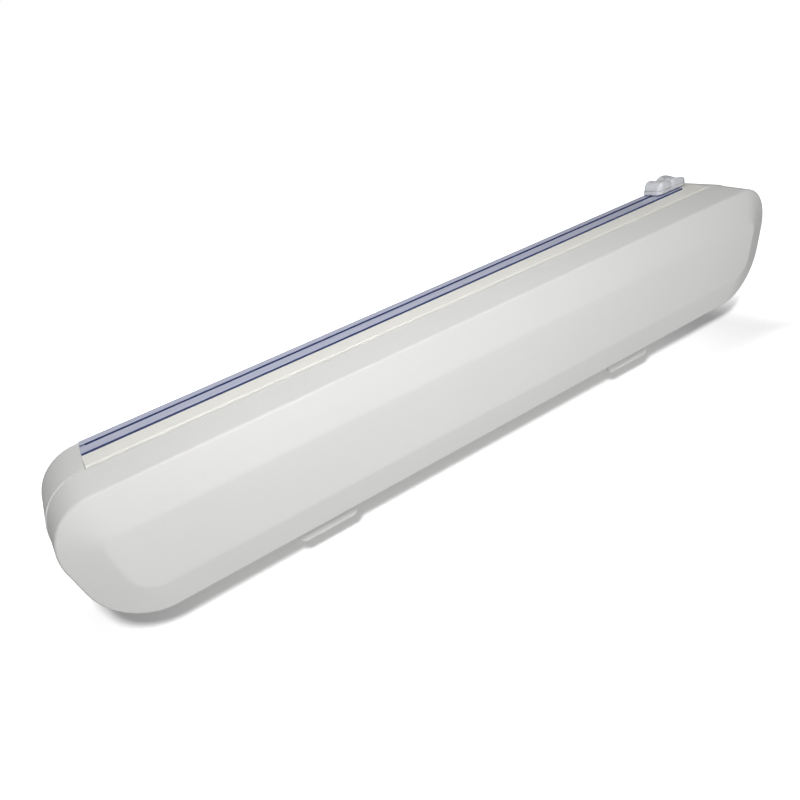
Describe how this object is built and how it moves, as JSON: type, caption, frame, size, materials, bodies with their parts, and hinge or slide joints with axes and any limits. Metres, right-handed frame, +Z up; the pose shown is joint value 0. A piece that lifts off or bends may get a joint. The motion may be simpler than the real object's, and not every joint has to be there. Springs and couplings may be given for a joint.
{
  "type": "cling film dispenser",
  "caption": "Long wall-mounted cling film dispenser with rounded ends, a drop-down front cover, a film slit along the top and a cutter that slides on a rail.",
  "frame": {"origin": "centre of the flat back face, halfway along the case and at the mid height of its front edge outline", "axes": "+Y into the wall, so the front faces -Y; X along the case and the rail, +X towards the parked cutter; +Z up"},
  "size_m": [0.4162, 0.054, 0.0787],
  "materials": {
    "case_white": "fine matte texture",
    "cover_white": "fine matte texture",
    "strip_ivory": "satin",
    "rail_blue": "clear tinted gloss",
    "cutter_white": "satin",
    "steel": "bright",
    "inner_white": "satin",
    "film_clear": "wound clear film",
    "core_card": "kraft cardboard"
  },
  "bodies": {
    "case": {"back_shell": "case_white", "film_strip": "strip_ivory", "cutter_rail": "rail_blue", "rail_stop_left": "inner_white", "rail_stop_right": "inner_white", "cradle_left": "inner_white", "cradle_right": "inner_white", "deck_screws": "steel", "cradle_screws": "steel"},
    "cover": {"front_cover": "cover_white", "hinge_pin_left": "steel", "hinge_pin_right": "steel"},
    "cutter": {"cutter_base": "cutter_white", "cutter_grip": "cutter_white", "cutter_foot": "inner_white", "cutter_blade": "steel", "cutter_screw": "steel"},
    "roll": {"film_roll": "film_clear", "core_tube": "core_card", "hub_left": "inner_white", "hub_right": "inner_white"}
  },
  "joints": [
    {"name": "cover_hinge", "type": "hinge", "parent": "case", "child": "cover", "pos_m": [0, -0.034, -0.0354], "axis": [1, 0, 0], "range_deg": [0, 95]},
    {"name": "cutter_slide", "type": "slide", "parent": "case", "child": "cutter", "axis": [1, 0, 0], "range_m": [-0.332, 0]},
    {"name": "roll_spin", "type": "hinge", "parent": "case", "child": "roll", "pos_m": [0, -0.026, -0.003], "axis": [1, 0, 0], "continuous": true}
  ]
}
